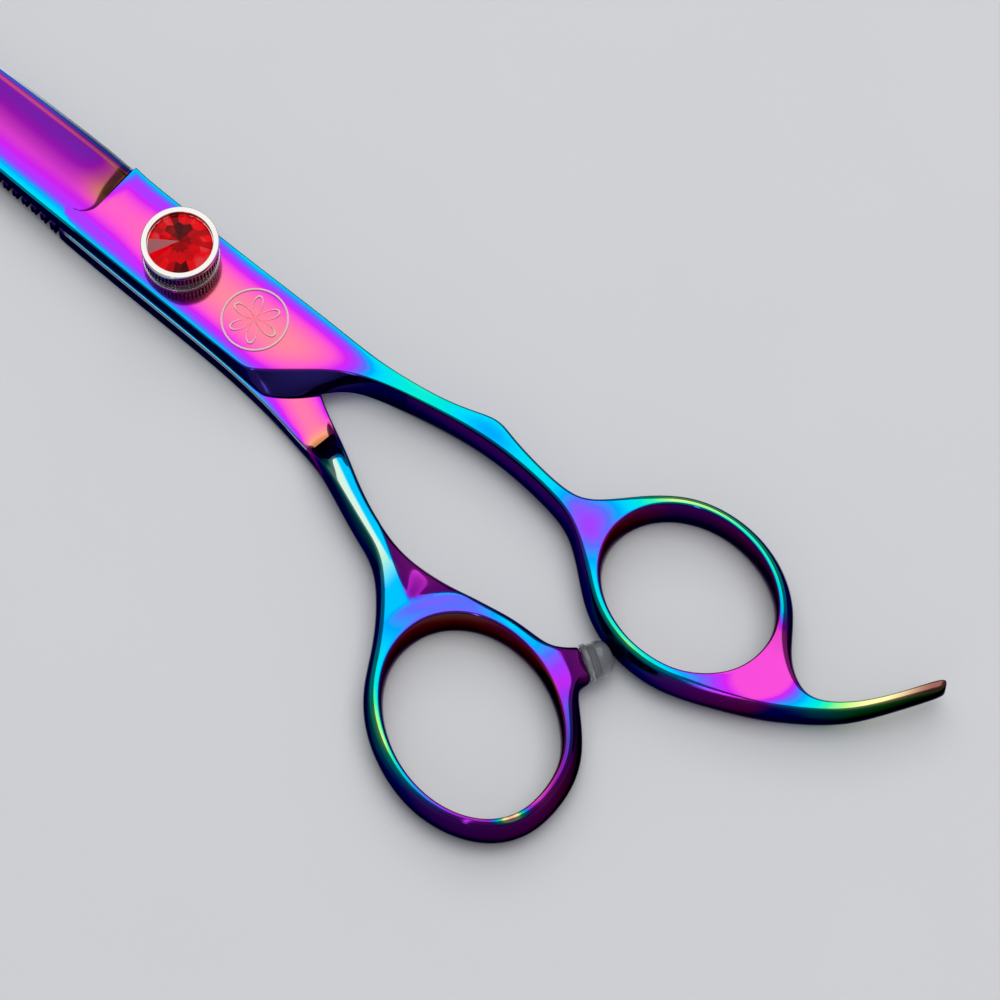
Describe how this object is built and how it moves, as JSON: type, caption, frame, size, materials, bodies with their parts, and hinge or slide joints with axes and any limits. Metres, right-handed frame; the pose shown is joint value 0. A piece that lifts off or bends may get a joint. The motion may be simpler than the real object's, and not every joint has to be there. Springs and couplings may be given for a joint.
{
  "type": "thinning shears",
  "caption": "Hairdressing thinning shears: a plain blade over a comb blade, offset finger rings with a tang, a crystal-topped tension knob and a rubber stop.",
  "frame": {"origin": "centre of the pivot screw's head, on its outer face, on the pivot axis", "axes": "+Z along the pivot axis towards the tension knob; +X from the pivot towards the finger rings, along the closed blades; the blade tips point towards -X"},
  "size_m": [0.1723, 0.0532, 0.011],
  "materials": {
    "coated_steel_front": "polished, rainbow titanium coating",
    "coated_steel_back": "polished, rainbow titanium coating",
    "polished_steel": "polished",
    "spring_steel": "plain",
    "white_nylon": "matte",
    "chromed_brass": "polished",
    "red_crystal": "faceted, foil backed",
    "silver_foil": "thin foil",
    "clear_silicone": "translucent"
  },
  "bodies": {
    "back_assembly": {"back_half": "coated_steel_back", "pivot_screw": "polished_steel", "ride_washer": "white_nylon", "bumper": "clear_silicone"},
    "front_assembly": {"front_half": "coated_steel_front", "pivot_sleeve": "white_nylon", "seat_washer": "polished_steel"},
    "tension_plate": {"click_plate": "polished_steel", "wave_spring": "spring_steel"},
    "knob_assembly": {"knob": "chromed_brass", "crystal_foil": "silver_foil", "crystal": "red_crystal"}
  },
  "joints": [
    {"name": "blade_pivot", "type": "hinge", "parent": "back_assembly", "child": "front_assembly", "pos_m": [0, 0, 0], "axis": [0, 0, 1], "range_deg": [0, 70]},
    {"name": "tension_slide", "type": "slide", "parent": "back_assembly", "child": "tension_plate", "axis": [0, 0, 1], "range_m": [-0.000249, 0.000249], "deforming": ["wave_spring"]},
    {"name": "knob_turn", "type": "hinge", "parent": "tension_plate", "child": "knob_assembly", "pos_m": [0, 0, 0.0071], "axis": [0, 0, 1], "range_deg": [-180, 180]}
  ],
  "couplings": [
    {"joint": "knob_turn", "follows": "tension_slide", "rad_per_m": 12566}
  ]
}
